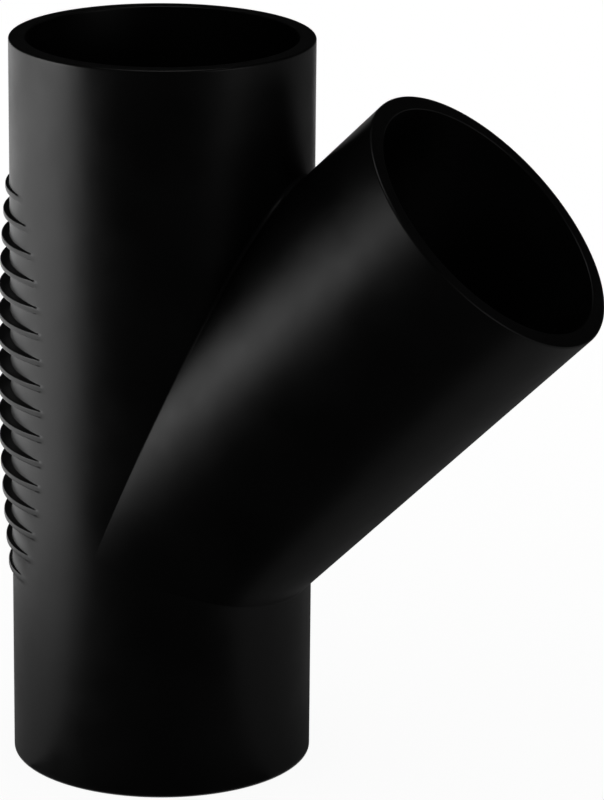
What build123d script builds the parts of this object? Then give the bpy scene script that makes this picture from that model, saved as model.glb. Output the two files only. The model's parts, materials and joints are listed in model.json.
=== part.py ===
from build123d import *
import math
import os

# A 45 degree lateral wye for plastic drainage pipe, moulded in one piece.
# The run stands on its lower end along +Z, and the branch leaves it towards +X.
# The origin is the centre of the lower end. All sizes are in millimetres.

# The tubes
TUBE_OD = 110.0
WALL = 6.0
RUN_LENGTH = 270.0
JUNCTION_HEIGHT = 90.0
BRANCH_LENGTH = 180.0
BRANCH_ANGLE = 45.0

# The ends, which are cut square and have their sharp edges taken off
OUTER_EDGE_CHAMFER = 0.45
BORE_EDGE_CHAMFER = 0.5

# The stiffening fins on the back of the run, across from the branch's opening.
# Each is the part that shows of a disc set back from the run's axis: a crescent
# that runs out into the tube at both ends, and sooner where it stands out less.
FIN_PITCH = 9.52
FIN_INSET = 5.1
FIN_REACH_MIDDLE = 6.5
FIN_REACH_END = 2.1
FIN_RIM_UNDERSIZE = 1.0
FIN_TIP_THICKNESS = 2.4
FIN_TIP_CHAMFER = 0.4
FIN_DRAFT = 3.5

TUBE_RADIUS = TUBE_OD / 2
BORE_RADIUS = TUBE_RADIUS - WALL

# The heights at which the run's and the branch's flanks meet
HALF_ANGLE = math.radians(BRANCH_ANGLE / 2)
LOWER_CROTCH = JUNCTION_HEIGHT - TUBE_RADIUS * math.tan(HALF_ANGLE)
UPPER_CROTCH = JUNCTION_HEIGHT + TUBE_RADIUS / math.tan(HALF_ANGLE)

BRANCH_FRAME = Pos(0, 0, JUNCTION_HEIGHT) * Rot(0, BRANCH_ANGLE, 0)


def turned(sketch):
    """A sketch of radius against height, turned once round the Z axis."""
    return revolve(Plane.XZ * sketch, axis=Axis.Z)


def tube_outside(length, trimmed_ends):
    """A solid bar of the tube's outside size, with the named ends' edges chamfered."""
    outline = Rectangle(TUBE_RADIUS, length, align=(Align.MIN, Align.MIN))
    rim = outline.vertices().group_by(Axis.X)[-1].sort_by(Axis.Y)
    corners = [rim[end] for end in trimmed_ends]
    return turned(chamfer(corners, OUTER_EDGE_CHAMFER))


def tube_inside(length, open_ends):
    """The bore as a solid, flared by the edge chamfer at the named ends."""
    bore = turned(Rectangle(BORE_RADIUS, length, align=(Align.MIN, Align.MIN)))
    mouth_radius = BORE_RADIUS + BORE_EDGE_CHAMFER
    flare = Cone(mouth_radius, BORE_RADIUS, BORE_EDGE_CHAMFER, align=(Align.CENTER, Align.CENTER, Align.MIN))
    if 0 in open_ends:
        bore += flare
    if -1 in open_ends:
        bore += Pos(0, 0, length) * Rot(180, 0, 0) * flare
    return bore


def fin_heights():
    """One fin each pitch, from just above the lower crotch up to the upper one."""
    first = LOWER_CROTCH + FIN_INSET
    count = int((UPPER_CROTCH - first) / FIN_PITCH) + 1
    return [first + FIN_PITCH * number for number in range(count)]


def fin_reach(height, first, last):
    """How far a fin stands out at the back: a shallow bow from end fin to end fin."""
    middle = (first + last) / 2
    share = (height - middle) / (last - middle)
    return FIN_REACH_END + (FIN_REACH_MIDDLE - FIN_REACH_END) * (1 - share**2)


def fin(height, reach):
    """A drafted disc set back from the run's axis, so that only a crescent of it shows.

    Its radius is the tube's less the rim's undersize, so it is set back by the reach
    and the undersize together.
    """
    setback = reach + FIN_RIM_UNDERSIZE
    disc_radius = TUBE_RADIUS - FIN_RIM_UNDERSIZE
    draft_depth = reach + WALL / 2
    half_tip = FIN_TIP_THICKNESS / 2
    half_root = half_tip + draft_depth * math.tan(math.radians(FIN_DRAFT))
    root_radius = disc_radius - draft_depth
    outline = Polygon(
        (0, -half_root),
        (root_radius, -half_root),
        (disc_radius, -half_tip),
        (disc_radius, half_tip),
        (root_radius, half_root),
        (0, half_root),
        align=None,
    )
    tips = outline.vertices().group_by(Axis.X)[-1]
    return Pos(-setback, 0, height) * turned(chamfer(tips, FIN_TIP_CHAMFER))


def wye_body():
    """Both tubes and the fins as one solid, with the waterway cut through them."""
    body = tube_outside(RUN_LENGTH, (0, -1))
    body += BRANCH_FRAME * tube_outside(BRANCH_LENGTH, (-1,))
    heights = fin_heights()
    for height in heights:
        body += fin(height, fin_reach(height, heights[0], heights[-1]))
    body -= tube_inside(RUN_LENGTH, (0, -1))
    body -= BRANCH_FRAME * tube_inside(BRANCH_LENGTH, (-1,))
    return body


os.makedirs("parts", exist_ok=True)
fitting = wye_body()
export_step(fitting, "parts/wye_body.step")
print("solids", len(fitting.solids()), "valid", fitting.is_valid, "volume", round(fitting.volume, 1))
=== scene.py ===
"""Looks for a black polyethylene lateral wye: a moulded run with a 45 degree branch."""
import json
import math

import bmesh
import bpy
import numpy as np
from mathutils import Matrix, Vector


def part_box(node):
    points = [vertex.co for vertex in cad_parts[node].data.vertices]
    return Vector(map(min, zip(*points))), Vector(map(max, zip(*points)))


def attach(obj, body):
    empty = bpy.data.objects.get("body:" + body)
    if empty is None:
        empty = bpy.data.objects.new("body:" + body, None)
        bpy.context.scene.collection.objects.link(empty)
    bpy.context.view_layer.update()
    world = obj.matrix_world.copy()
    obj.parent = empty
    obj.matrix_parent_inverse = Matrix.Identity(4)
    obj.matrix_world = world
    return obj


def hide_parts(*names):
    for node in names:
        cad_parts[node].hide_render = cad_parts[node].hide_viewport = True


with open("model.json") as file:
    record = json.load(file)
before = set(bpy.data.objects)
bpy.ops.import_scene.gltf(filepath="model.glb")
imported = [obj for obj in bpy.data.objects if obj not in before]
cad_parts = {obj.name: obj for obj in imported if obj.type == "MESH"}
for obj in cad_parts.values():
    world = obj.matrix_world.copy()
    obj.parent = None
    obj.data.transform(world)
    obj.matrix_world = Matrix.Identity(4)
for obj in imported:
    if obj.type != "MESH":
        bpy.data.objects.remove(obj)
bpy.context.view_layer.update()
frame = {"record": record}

MM = 0.001

# ---------------------------------------------------------------- sizes taken from the frame
mounts = {mount["name"]: mount for mount in frame["record"]["mounts"]}
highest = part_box("wye_body")[1]

TUBE_RADIUS = highest.y
RUN_LENGTH = highest.z
BORE_RADIUS = mounts["run_bore"]["dims"]["r_mm"] * MM
branch_axis = np.array(mounts["branch_bore"]["axis"], float)
branch_axis /= np.linalg.norm(branch_axis)
branch_point = np.array(mounts["branch_bore"]["pos_m"], float)
junction = branch_point - branch_axis * branch_point[0] / branch_axis[0]
JUNCTION_HEIGHT = junction[2]
BRANCH_LENGTH = float((np.array(mounts["branch_end"]["pos_m"]) - junction) @ branch_axis)
BRANCH_ANGLE = math.acos(branch_axis[2])
HALF_TANGENT = math.tan(BRANCH_ANGLE / 2)

# ---------------------------------------------------------------- sizes of the moulded detail
OUTER_EDGE = 0.75 * MM
BORE_EDGE = 0.5 * MM
JUNCTION_FILLET = 1.2 * MM

FIN_PITCH = 9.52 * MM
FIN_INSET = 5.1 * MM
FIN_REACH_MIDDLE = 5.9 * MM
FIN_REACH_END = 2.1 * MM
FIN_RIM_UNDERSIZE = 3.0 * MM
FIN_TIP_THICKNESS = 2.4 * MM
FIN_TIP_ROUND = 0.6 * MM
FIN_ROOT_FILLET = 0.6 * MM
FIN_DRAFT = math.radians(3.5)
FIN_ROUND_SHARE = 0.45
FIN_FULL_SECTION_FROM = 0.5 * MM

# ---------------------------------------------------------------- the plastic's surface
POLYETHYLENE_IOR = 1.54
GLOSSIEST = 0.34
DULLEST = 0.46
GRAIN_SIZE = 0.9 * MM
GRAIN_DEPTH = 0.05 * MM
WAVE_SIZE = 18 * MM
WAVE_DEPTH = 0.4 * MM
PATCH_SIZE = 40 * MM

# ---------------------------------------------------------------- the camera and the studio
CAMERA_AROUND = math.radians(25.01)
CAMERA_ABOVE = math.radians(17.57)
CAMERA_DISTANCE = 1.659
CAMERA_AIM = Vector((0.04, 0.0, 0.13))
CAMERA_YAW = math.radians(-0.53)
CAMERA_TIP = math.radians(17.25)
CAMERA_LEAN = math.radians(0.58)
LENS_LENGTH = 206.2
SENSOR_WIDTH = 36.0
NEAREST_SEEN = 0.05

PART_MIDDLE = Vector((0.03, 0.0, 0.13))
LAMP_DISTANCE = 1.4
LEFT_LAMP = {"right": -90, "above": 2, "width": 0.95, "height": 0.2, "glow": 4.8}
RIGHT_LAMP = {"right": 52, "above": 10, "width": 0.6, "height": 0.4, "glow": 0.8}
EVEN_LIGHT = 0.85

BOARD_RADII = (0.02, 0.5, 3.0)
BOARD_WHITE_SHARE = 0.93
BOARD_FADE_FROM = 0.2
BOARD_FADE_TO = 0.7

CURTAIN_RADIUS = 2.4
CURTAIN_FOOT = 0.12
CURTAIN_TOP = 2.4
CURTAIN_OPENING = 0.6
CLOTH_LIFT = 0.3 * MM
CLOTH_GAP = 0.3 * MM
CLOSE_RADIUS = 0.16
CLOSE_LEFT_RADIUS = 0.24
APRON_RADIUS = 2.35
APRON_TOP = 0.2

# where one cloth gives way to the next, in degrees to the right of the camera
WHITE_TO_BLACK = -63
BLACK_TO_CHARCOAL = 50
CHARCOAL_TO_WHITE = 160
BEHIND = 180

# ---------------------------------------------------------------- how finely the surfaces are cut
FRONT_COLUMNS = 73
BACK_COLUMNS = 109
BRANCH_ROWS = 20
BORE_ROWS = 14
BARE_RUN_ROWS = 6
FILLET_STEPS = 6
EDGE_STEPS = 6
FIN_ROUND_STEPS = 4
SHEET_SPOKES = 97
HOLD = 0.6 * MM
WELD_WITHIN = 0.002 * MM
SLIVER_UNDER = 0.001 * MM
SHARP_EDGE_FROM = math.radians(32)


# ================================================================ the moulded body
def held(start, end, count):
    """Even steps from start to end, with one more just inside each end to keep the shading flat there."""
    steps = np.linspace(start, end, count)
    hold = math.copysign(HOLD, end - start)
    return np.concatenate([[start, start + hold], steps[1:-1], [end - hold, end]])


def run_point(angle, radius, height):
    """A point round the run's axis: radius out at the angle from the branch's side, and the height up."""
    angle, radius, height = np.broadcast_arrays(angle, radius, height)
    return np.stack([radius * np.cos(angle), radius * np.sin(angle), height], axis=-1)


def branch_outward(angle, side):
    """The direction square to the branch's axis at the angle, on its lower side (1) or its upper side (-1).

    It is the run's outward direction at that angle, mirrored in the plane in which the two tubes meet.
    """
    across = side * np.cos(angle)
    return np.stack(
        [across * math.cos(BRANCH_ANGLE), np.sin(angle), -across * math.sin(BRANCH_ANGLE)], axis=-1
    )


def branch_point_at(angle, side, radius, distance):
    """A point round the branch's axis: the junction, plus the outward direction times the radius,
    plus the axis times the distance from the junction.
    """
    angle, radius, distance = np.broadcast_arrays(angle, radius, distance)
    out = branch_outward(angle, side) * radius[..., None]
    return junction + out + branch_axis * distance[..., None]


def meeting_distance(angle, side, radius):
    """How far from the junction two tubes of this radius meet, along either axis.

    They meet in two half ellipses, so it is the radius times the cosine of the angle,
    times the half angle's tangent below the branch, or divided by it above.
    """
    slope = HALF_TANGENT if side > 0 else 1 / HALF_TANGENT
    return radius * np.cos(angle) * slope


def grid_faces(rows, columns):
    """The four corners of each cell of a grid whose points are numbered row by row."""
    corner = (np.arange(rows - 1)[:, None] * columns + np.arange(columns - 1)).ravel()
    return np.stack([corner, corner + 1, corner + columns + 1, corner + columns], axis=1)


def fin_heights():
    """One fin each pitch, from just above the lower crotch up to the upper one."""
    lower = JUNCTION_HEIGHT - TUBE_RADIUS * HALF_TANGENT
    upper = JUNCTION_HEIGHT + TUBE_RADIUS / HALF_TANGENT
    first = lower + FIN_INSET
    count = int((upper - first) / FIN_PITCH) + 1
    return first + FIN_PITCH * np.arange(count)


def fin_reaches(heights):
    """How far each fin stands out at the back: a shallow bow from end fin to end fin.

    The bow falls with the square of the way from the middle fin to an end fin.
    """
    middle = (heights[0] + heights[-1]) / 2
    share = (heights - middle) / (heights[-1] - middle)
    return FIN_REACH_END + (FIN_REACH_MIDDLE - FIN_REACH_END) * (1 - share**2)


def fin_crescent(reach, angle):
    """How far a fin stands out at each angle.

    Its rim is a circle a little smaller than the tube's, set back from the run's axis
    so far that it stands out by the reach at the back. Seen from the axis, the circle is
    as far off as the setback times the angle's cosine, plus the root of the circle's
    radius squared less the setback times the sine, squared. The tube's radius is taken off.
    """
    setback = reach + FIN_RIM_UNDERSIZE
    rim = TUBE_RADIUS - FIN_RIM_UNDERSIZE
    from_back = angle - math.pi
    radius = setback * np.cos(from_back) + np.sqrt(rim**2 - (setback * np.sin(from_back)) ** 2)
    return np.maximum(radius - TUBE_RADIUS, 0)


def fin_profile(reach):
    """Half a fin's section, from the root up to the middle of its rim, for each reach.

    Returns the distance from the fin's middle plane and the height off the tube:
    a quarter round at the root, a drafted flank, a quarter round at the tip, the rim.
    Where the fin is low, both rounds shrink with it, and where it has run out altogether,
    the points spread evenly over the bare tube.
    """
    reach = np.asarray(reach)[..., None]
    tip = np.minimum(FIN_TIP_ROUND, reach * FIN_ROUND_SHARE)
    root = np.minimum(FIN_ROOT_FILLET, reach * FIN_ROUND_SHARE)
    half = FIN_TIP_THICKNESS / 2
    turn = np.linspace(0, math.pi / 2, FIN_ROUND_STEPS)
    root_foot = half + reach * math.tan(FIN_DRAFT) + root
    root_away = root_foot - root * np.sin(turn)
    root_up = root * (1 - np.cos(turn))
    tip_away = half - tip + tip * np.cos(turn)
    tip_up = reach - tip + tip * np.sin(turn)
    rim_away = np.zeros_like(reach)
    away = np.concatenate([root_away, tip_away, rim_away], axis=-1)
    up = np.concatenate([root_up, tip_up, reach + rim_away], axis=-1)
    spread = np.linspace(half + root.max() + FIN_TIP_ROUND, 0, away.shape[-1])
    standing = np.clip(reach / FIN_FULL_SECTION_FROM, 0, 1)
    return spread + (away - spread) * standing, up


def run_levels():
    """The heights of the rows up the run where no fin stands, which fin each row belongs to
    (-1 for none), and the row at the junction.
    """
    heights = fin_heights()
    away = fin_profile(np.zeros(1))[0][0]
    across = np.concatenate([-away, away[-2::-1]])
    fins = heights[:, None] + across
    below = held(OUTER_EDGE, fins[0, 0] - HOLD, BARE_RUN_ROWS)
    above = held(fins[-1, -1] + HOLD, RUN_LENGTH - OUTER_EDGE, BARE_RUN_ROWS)
    levels = np.concatenate([below, fins.ravel(), above])
    owner = np.repeat(np.arange(len(heights)), across.size)
    owner = np.concatenate([np.full(below.size, -1), owner, np.full(above.size, -1)])
    shared = int(np.argmin(abs(levels - JUNCTION_HEIGHT)))
    levels[shared] = JUNCTION_HEIGHT
    return levels, owner, shared


def finned_back(levels, owner, angles):
    """The back of the run: the tube's own radius between the fins, and each fin's profile over it.

    Each row belongs to a fin or to the bare tube, so the rows bunch up on the fins' flanks.
    """
    heights = fin_heights()
    reaches = fin_reaches(heights)
    radius = np.full((levels.size, angles.size), TUBE_RADIUS)
    height = np.repeat(levels[:, None], angles.size, axis=1)
    for number, (middle, reach) in enumerate(zip(heights, reaches)):
        rows = owner == number
        crescent = fin_crescent(reach, angles)
        away, up = fin_profile(crescent)
        away = np.concatenate([-away, away[:, -2::-1]], axis=1).T
        up = np.concatenate([up, up[:, -2::-1]], axis=1).T
        standing = np.clip(crescent / FIN_FULL_SECTION_FROM, 0, 1)
        flat = levels[rows][:, None]
        radius[rows] += up
        height[rows] = flat + (middle + away - flat) * standing
    return run_point(angles[None, :], radius, height)


def body_patches():
    """Every surface of the body as a grid of points, each row by column."""
    front = np.linspace(-math.pi / 2, math.pi / 2, FRONT_COLUMNS)
    back = np.linspace(math.pi / 2, 3 * math.pi / 2, BACK_COLUMNS)
    levels, owner, shared = run_levels()
    patches = [finned_back(levels, owner, back)]
    patches += outside_patches(front, levels, shared)
    patches += bore_patches(front, back)
    round_run = np.concatenate([front, back[1:]])
    patches.append(run_rim(round_run, 0, 1))
    patches.append(run_rim(round_run, RUN_LENGTH, -1))
    patches += [branch_rim(front, 1), branch_rim(front, -1)]
    return patches


def outside_patches(front, levels, shared):
    """The outside in front: the run below and above the branch, the branch's two sides,
    and between them the fillet of a ball rolled along the crease.

    The ball's centre keeps the tube's radius and its own from both axes. The fillet turns
    from the direction of the run's surface to that of the branch's.
    """
    centre_radius = TUBE_RADIUS + JUNCTION_FILLET
    patches = []
    for side in (1, -1):
        meet = meeting_distance(front, side, centre_radius)
        start = OUTER_EDGE if side > 0 else RUN_LENGTH - OUTER_EDGE
        rows = levels[: shared + 1] if side > 0 else levels[shared:]
        share = (rows - start) / (JUNCTION_HEIGHT - start)
        height = start + share[:, None] * (JUNCTION_HEIGHT - side * meet - start)
        patches.append(run_point(front[None, :], TUBE_RADIUS, height))
        run_way = run_point(front, 1.0, 0.0)
        branch_way = branch_outward(front, side)
        centre = run_point(front, centre_radius, JUNCTION_HEIGHT - side * meet)
        turn = np.linspace(0, 1, FILLET_STEPS + 1)[:, None, None]
        way = run_way * (1 - turn) + branch_way * turn
        way /= np.linalg.norm(way, axis=-1, keepdims=True)
        patches.append(centre - JUNCTION_FILLET * way)
        along = held(0, 1, BRANCH_ROWS)
        along = np.clip((along - along[0]) / (along[-1] - along[0]), 0, 1)[:, None]
        distance = meet + along * (BRANCH_LENGTH - OUTER_EDGE - meet)
        patches.append(branch_point_at(front[None, :], side, TUBE_RADIUS, distance))
    return patches


def bore_patches(front, back):
    """The waterway: both bores, which meet in a sharp edge of two half ellipses."""
    lower = held(BORE_EDGE, JUNCTION_HEIGHT, BORE_ROWS)
    upper = held(JUNCTION_HEIGHT, RUN_LENGTH - BORE_EDGE, BORE_ROWS)
    levels = np.concatenate([lower, upper[1:]])
    patches = [run_point(back[None, :], BORE_RADIUS, levels[:, None])]
    for side, rows in ((1, lower), (-1, upper)):
        meet = meeting_distance(front, side, BORE_RADIUS)
        start = BORE_EDGE if side > 0 else RUN_LENGTH - BORE_EDGE
        share = (rows - start) / (JUNCTION_HEIGHT - start)
        height = start + share[:, None] * (JUNCTION_HEIGHT - side * meet - start)
        patches.append(run_point(front[None, :], BORE_RADIUS, height))
        along = np.linspace(0, 1, BORE_ROWS)[:, None]
        distance = meet + along * (BRANCH_LENGTH - BORE_EDGE - meet)
        patches.append(branch_point_at(front[None, :], side, BORE_RADIUS, distance))
    return patches


def rim_section():
    """Radius and depth across an end: a quarter round outside, the flat face, a small round
    into the bore. Each round is its radius times a sine or cosine over a quarter turn.
    """
    turn = np.linspace(0, math.pi / 2, EDGE_STEPS)
    outer_radius = TUBE_RADIUS - OUTER_EDGE * (1 - np.cos(turn))
    outer_depth = OUTER_EDGE * (1 - np.sin(turn))
    inner_radius = BORE_RADIUS + BORE_EDGE * (1 - np.sin(turn))
    inner_depth = BORE_EDGE * (1 - np.cos(turn))
    face_radius = np.array([outer_radius[-1] - HOLD, inner_radius[0] + HOLD])
    radius = np.concatenate([outer_radius, face_radius, inner_radius])
    depth = np.concatenate([outer_depth, [0, 0], inner_depth])
    return radius, depth


def run_rim(angles, end_height, inward):
    """The run's end at that height, its depth measured inwards along the axis."""
    radius, depth = rim_section()
    return run_point(angles[None, :], radius[:, None], (end_height + inward * depth)[:, None])


def branch_rim(front, side):
    """Half of the branch's end, on its lower or its upper side."""
    radius, depth = rim_section()
    distance = (BRANCH_LENGTH - depth)[:, None]
    return branch_point_at(front[None, :], side, radius[:, None], distance)


def body_mesh(name):
    """All the patches in one mesh, welded where they meet, with every face turned outwards."""
    points, faces, first = [], [], 0
    for patch in body_patches():
        rows, columns = patch.shape[:2]
        points.append(patch.reshape(-1, 3))
        faces.append(grid_faces(rows, columns) + first)
        first += rows * columns
    mesh = bpy.data.meshes.new(name)
    mesh.from_pydata(np.concatenate(points), [], np.concatenate(faces).tolist())
    work = bmesh.new()
    work.from_mesh(mesh)
    bmesh.ops.remove_doubles(work, verts=work.verts, dist=WELD_WITHIN)
    bmesh.ops.dissolve_degenerate(work, edges=work.edges, dist=SLIVER_UNDER)
    bmesh.ops.recalc_face_normals(work, faces=work.faces)
    work.to_mesh(mesh)
    open_edges = sum(1 for edge in work.edges if len(edge.link_faces) != 2)
    print("body", len(mesh.polygons), "faces, edges not shared by two faces:", open_edges)
    work.free()
    mesh.shade_smooth()
    mesh.set_sharp_from_angle(angle=SHARP_EDGE_FROM)
    return mesh


# ================================================================ materials
def linear(hex_colour):
    """An sRGB hex colour as the linear numbers that a shader takes."""
    parts = [int(hex_colour[place : place + 2], 16) / 255 for place in (1, 3, 5)]
    straight = [p / 12.92 if p <= 0.04045 else ((p + 0.055) / 1.055) ** 2.4 for p in parts]
    return (*straight, 1.0)


def add_node(tree, kind, settings=(), **links):
    """Add a node, set its properties and sockets, and link its named inputs.

    A key of settings is a property's name, or a socket's name given as 'in:NAME'. A link's
    name is a socket's name, with underscores for spaces, or its number after an underscore,
    and its value is another node's output socket.
    """
    node = tree.nodes.new(kind)
    for key, value in dict(settings).items():
        if key.startswith("in:"):
            node.inputs[key.removeprefix("in:")].default_value = value
        else:
            setattr(node, key, value)
    for name, output in links.items():
        socket = name.lstrip("_").replace("_", " ")
        tree.links.new(output, node.inputs[int(socket) if socket.isdigit() else socket])
    return node


def new_material(name):
    """An empty node material and its tree."""
    material = bpy.data.materials.new(name)
    material.use_nodes = True
    material.node_tree.nodes.clear()
    return material, material.node_tree


def moulded_polyethylene():
    """Black high-density polyethylene, injection moulded in a lightly blasted steel mould.

    To the eye it is a deep neutral black with a soft satin sheen: broad highlights that
    fade slowly, a very fine grain from the mould, and slightly duller patches from handling.
    """
    material, tree = new_material("moulded_black_polyethylene")
    place = add_node(tree, "ShaderNodeTexCoord").outputs["Object"]

    # grain of the blasted mould, drawn coarser than the real 0.1 mm so that it shows
    grain = add_node(
        tree, "ShaderNodeTexNoise", {"in:Scale": 1 / GRAIN_SIZE, "in:Detail": 3.0}, Vector=place
    )
    # gentle waves that a moulded wall takes on as it cools
    waves = add_node(
        tree, "ShaderNodeTexNoise", {"in:Scale": 1 / WAVE_SIZE, "in:Detail": 1.5}, Vector=place
    )
    # duller patches from handling and storage, with finer edges
    patches = add_node(
        tree,
        "ShaderNodeTexNoise",
        {"in:Scale": 1 / PATCH_SIZE, "in:Detail": 5.0, "in:Roughness": 0.6},
        Vector=place,
    )
    dullness = add_node(
        tree,
        "ShaderNodeMapRange",
        {
            "in:From Min": 0.35,
            "in:From Max": 0.7,
            "in:To Min": GLOSSIEST,
            "in:To Max": DULLEST,
        },
        Value=patches.outputs["Fac"],
    )
    tone = add_node(tree, "ShaderNodeValToRGB", _Fac=patches.outputs["Fac"])
    tone.color_ramp.elements[0].position = 0.3
    tone.color_ramp.elements[0].color = linear("#020202")
    tone.color_ramp.elements[1].position = 0.75
    tone.color_ramp.elements[1].color = linear("#040404")

    wave_bump = add_node(
        tree,
        "ShaderNodeBump",
        {"in:Strength": 0.35, "in:Distance": WAVE_DEPTH},
        Height=waves.outputs["Fac"],
    )
    grain_bump = add_node(
        tree,
        "ShaderNodeBump",
        {"in:Strength": 0.2, "in:Distance": GRAIN_DEPTH},
        Height=grain.outputs["Fac"],
        Normal=wave_bump.outputs["Normal"],
    )
    surface = add_node(
        tree,
        "ShaderNodeBsdfPrincipled",
        {"in:IOR": POLYETHYLENE_IOR},
        Base_Color=tone.outputs["Color"],
        Roughness=dullness.outputs["Result"],
        Normal=grain_bump.outputs["Normal"],
    )
    add_node(tree, "ShaderNodeOutputMaterial", Surface=surface.outputs["BSDF"])
    return material


# ================================================================ studio
def seen_white(tree):
    """1 for the camera, in gloss and through glass, which all show the plain white background."""
    path = add_node(tree, "ShaderNodeLightPath")
    seen = add_node(
        tree,
        "ShaderNodeMath",
        {"operation": "MAXIMUM"},
        _0=path.outputs["Is Camera Ray"],
        _1=path.outputs["Is Glossy Ray"],
    )
    return add_node(
        tree,
        "ShaderNodeMath",
        {"operation": "MAXIMUM"},
        _0=seen.outputs[0],
        _1=path.outputs["Is Transmission Ray"],
    ).outputs[0]


def studio_floor():
    """Matt white board under the part.

    Where it is seen it is mostly plain white, and wholly so further out. The rest is the
    lit board, which keeps the part's shadow. To the light that bounces about it is the lit
    board alone.
    """
    material, tree = new_material("matt_white_board")
    place = add_node(tree, "ShaderNodeTexCoord").outputs["Object"]
    away = add_node(tree, "ShaderNodeVectorMath", {"operation": "LENGTH"}, _0=place)
    white_share = add_node(
        tree,
        "ShaderNodeMapRange",
        {
            "in:From Min": BOARD_FADE_FROM,
            "in:From Max": BOARD_FADE_TO,
            "in:To Min": BOARD_WHITE_SHARE,
            "in:To Max": 1.0,
        },
        Value=away.outputs["Value"],
    )
    share = add_node(
        tree,
        "ShaderNodeMath",
        {"operation": "MULTIPLY"},
        _0=seen_white(tree),
        _1=white_share.outputs["Result"],
    )
    board = add_node(tree, "ShaderNodeBsdfDiffuse", {"in:Color": linear("#f2f2f2")})
    white = add_node(tree, "ShaderNodeEmission", {"in:Strength": 1.0})
    mixed = add_node(
        tree, "ShaderNodeMixShader", _0=share.outputs[0], _1=board.outputs[0], _2=white.outputs[0]
    )
    add_node(tree, "ShaderNodeOutputMaterial", Surface=mixed.outputs[0])
    return material


def studio_world():
    """Plain white where it is seen, and a little dimmer as the even light on the part."""
    world = bpy.data.worlds.new("studio")
    world.use_nodes = True
    tree = world.node_tree
    tree.nodes.clear()
    light = add_node(tree, "ShaderNodeBackground", {"in:Color": linear("#ffffff"), "in:Strength": EVEN_LIGHT})
    white = add_node(tree, "ShaderNodeBackground", {"in:Color": linear("#ffffff"), "in:Strength": 1.0})
    mixed = add_node(
        tree, "ShaderNodeMixShader", _0=seen_white(tree), _1=light.outputs[0], _2=white.outputs[0]
    )
    add_node(tree, "ShaderNodeOutputWorld", Surface=mixed.outputs[0])
    bpy.context.scene.world = world


def matt_cloth(name, shade):
    """Cotton velvet or felt of one shade of grey: the pile has no gloss of its own."""
    material, tree = new_material(name)
    pile = add_node(tree, "ShaderNodeBsdfDiffuse", {"in:Color": linear(shade)})
    add_node(tree, "ShaderNodeOutputMaterial", Surface=pile.outputs[0])
    return material


def round_the_part(right, above, distance):
    """A place round the part: degrees to the right of the camera, degrees above level, metres away."""
    turn, tip = CAMERA_AROUND + math.radians(right), math.radians(above)
    way = Vector((math.sin(turn) * math.cos(tip), -math.cos(turn) * math.cos(tip), math.sin(tip)))
    return PART_MIDDLE + distance * way


def facing(place, target):
    """The matrix of something at a place that looks at the target, upright."""
    look = (target - place).to_track_quat("-Z", "Y")
    return Matrix.Translation(place) @ look.to_matrix().to_4x4()


def soft_box(name, right, above, width, height, glow):
    """A rectangular lamp round the part, whose face glows that many times as bright as white."""
    lamp = bpy.data.lights.new(name, "AREA")
    lamp.shape = "RECTANGLE"
    lamp.size = width
    lamp.size_y = height
    lamp.energy = glow * math.pi * width * height
    holder = bpy.data.objects.new(name, lamp)
    holder.matrix_world = facing(round_the_part(right, above, LAMP_DISTANCE), PART_MIDDLE)
    bpy.context.scene.collection.objects.link(holder)


def turned_sheet(name, profile, first=-BEHIND, last=BEHIND):
    """A sheet turned round the part's axis: each point of the profile, a radius and a height,
    goes round from one angle to the other, both in degrees to the right of the camera.
    """
    profile = np.array(profile)
    turn = np.radians(np.linspace(first, last, SHEET_SPOKES)) + CAMERA_AROUND - math.pi / 2
    radius, height = profile[:, :1], profile[:, 1:]
    points = np.stack([radius * np.cos(turn), radius * np.sin(turn), height + 0 * turn], axis=-1)
    mesh = bpy.data.meshes.new(name)
    mesh.from_pydata(points.reshape(-1, 3), [], grid_faces(len(profile), SHEET_SPOKES).tolist())
    sheet = bpy.data.objects.new(name, mesh)
    bpy.context.scene.collection.objects.link(sheet)
    return sheet


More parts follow.
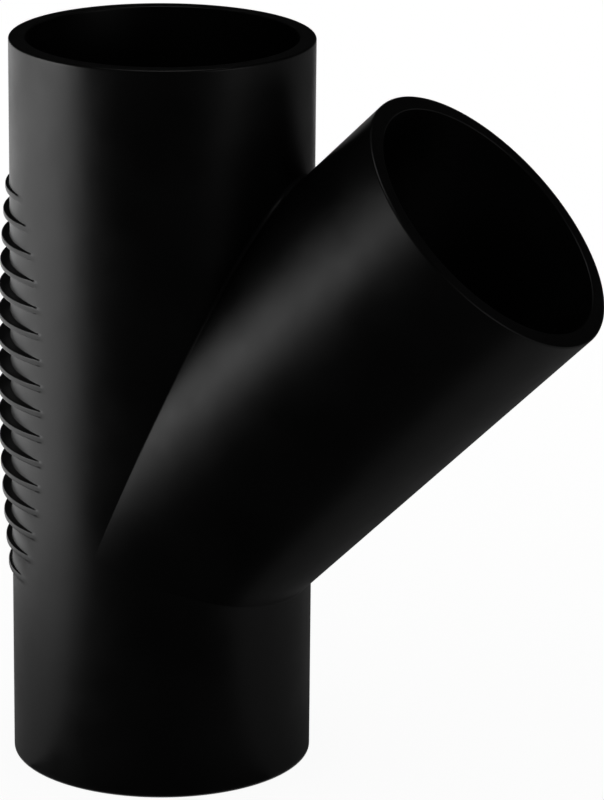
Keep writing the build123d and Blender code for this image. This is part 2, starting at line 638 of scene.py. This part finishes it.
def studio_room():
    """The white board, and cloths laid and hung round it, which only gloss shows.

    Such cloths are put about black plastic in a studio, so that its sheen stays deep. They
    are black in front and all round above, charcoal to the right, and grey close by at the
    left. Overhead, and on the floor further out at the left and behind, the white shows:
    it gives the long soft streak down the side of the run.
    """
    board = turned_sheet("floor", [(radius, 0.0) for radius in BOARD_RADII])
    board.data.materials.append(studio_floor())
    black = matt_cloth("black_velvet", "#1c1c1c")
    charcoal = matt_cloth("charcoal_felt", "#646464")
    grey = matt_cloth("grey_felt", "#8c8c8c")
    hung = [(CURTAIN_RADIUS, CURTAIN_FOOT), (CURTAIN_RADIUS, CURTAIN_TOP), (CURTAIN_OPENING, CURTAIN_TOP)]
    foot = (TUBE_RADIUS + CLOTH_GAP, CLOTH_LIFT)
    close = [foot, (CLOSE_RADIUS, CLOTH_LIFT)]
    close_left = [foot, (CLOSE_LEFT_RADIUS, CLOTH_LIFT)]
    beyond = [(CLOSE_RADIUS, CLOTH_LIFT), (APRON_RADIUS, CLOTH_LIFT), (APRON_RADIUS, APRON_TOP)]
    cloths = [
        (turned_sheet("curtain", hung), black),
        (turned_sheet("mat_left", close_left, -BEHIND, WHITE_TO_BLACK), grey),
        (turned_sheet("mat_front", close, WHITE_TO_BLACK, BLACK_TO_CHARCOAL), black),
        (turned_sheet("mat_right", close, BLACK_TO_CHARCOAL, BEHIND), charcoal),
        (turned_sheet("apron_front", beyond, WHITE_TO_BLACK, BLACK_TO_CHARCOAL), black),
        (turned_sheet("apron_right", beyond, BLACK_TO_CHARCOAL, CHARCOAL_TO_WHITE), charcoal),
    ]
    for sheet, cloth in cloths:
        sheet.data.materials.append(cloth)
        sheet.visible_camera = False
        sheet.visible_diffuse = False
        sheet.visible_transmission = False
        sheet.visible_shadow = False


def camera_at_view():
    """A long lens, to the right of the run's front and a little above, level but for a slight lean."""
    turn, tip, lean = CAMERA_AROUND + CAMERA_YAW, CAMERA_TIP, CAMERA_LEAN
    look = -Vector((math.sin(turn) * math.cos(tip), -math.cos(turn) * math.cos(tip), math.sin(tip)))
    level_right = look.cross(Vector((0, 0, 1))).normalized()
    level_up = level_right.cross(look)
    right = level_right * math.cos(lean) + level_up * math.sin(lean)
    up = level_up * math.cos(lean) - level_right * math.sin(lean)
    away = Vector(
        (
            math.sin(CAMERA_AROUND) * math.cos(CAMERA_ABOVE),
            -math.cos(CAMERA_AROUND) * math.cos(CAMERA_ABOVE),
            math.sin(CAMERA_ABOVE),
        )
    )
    lens = bpy.data.cameras.new("camera")
    lens.sensor_width = SENSOR_WIDTH
    lens.lens = LENS_LENGTH
    lens.clip_start = NEAREST_SEEN
    camera = bpy.data.objects.new("camera", lens)
    turned = Matrix((right, up, -look)).transposed().to_4x4()
    camera.matrix_world = Matrix.Translation(CAMERA_AIM + away * CAMERA_DISTANCE) @ turned
    bpy.context.scene.collection.objects.link(camera)
    bpy.context.scene.camera = camera


# ================================================================ the scene
body = bpy.data.objects.new("moulded_body", body_mesh("moulded_body"))
bpy.context.scene.collection.objects.link(body)
body.data.materials.append(moulded_polyethylene())
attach(body, "root")
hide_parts("wye_body")

studio_room()
studio_world()
soft_box("left_strip_box", **LEFT_LAMP)
soft_box("right_box", **RIGHT_LAMP)
camera_at_view()

scene = bpy.context.scene
scene.view_settings.view_transform = "Standard"
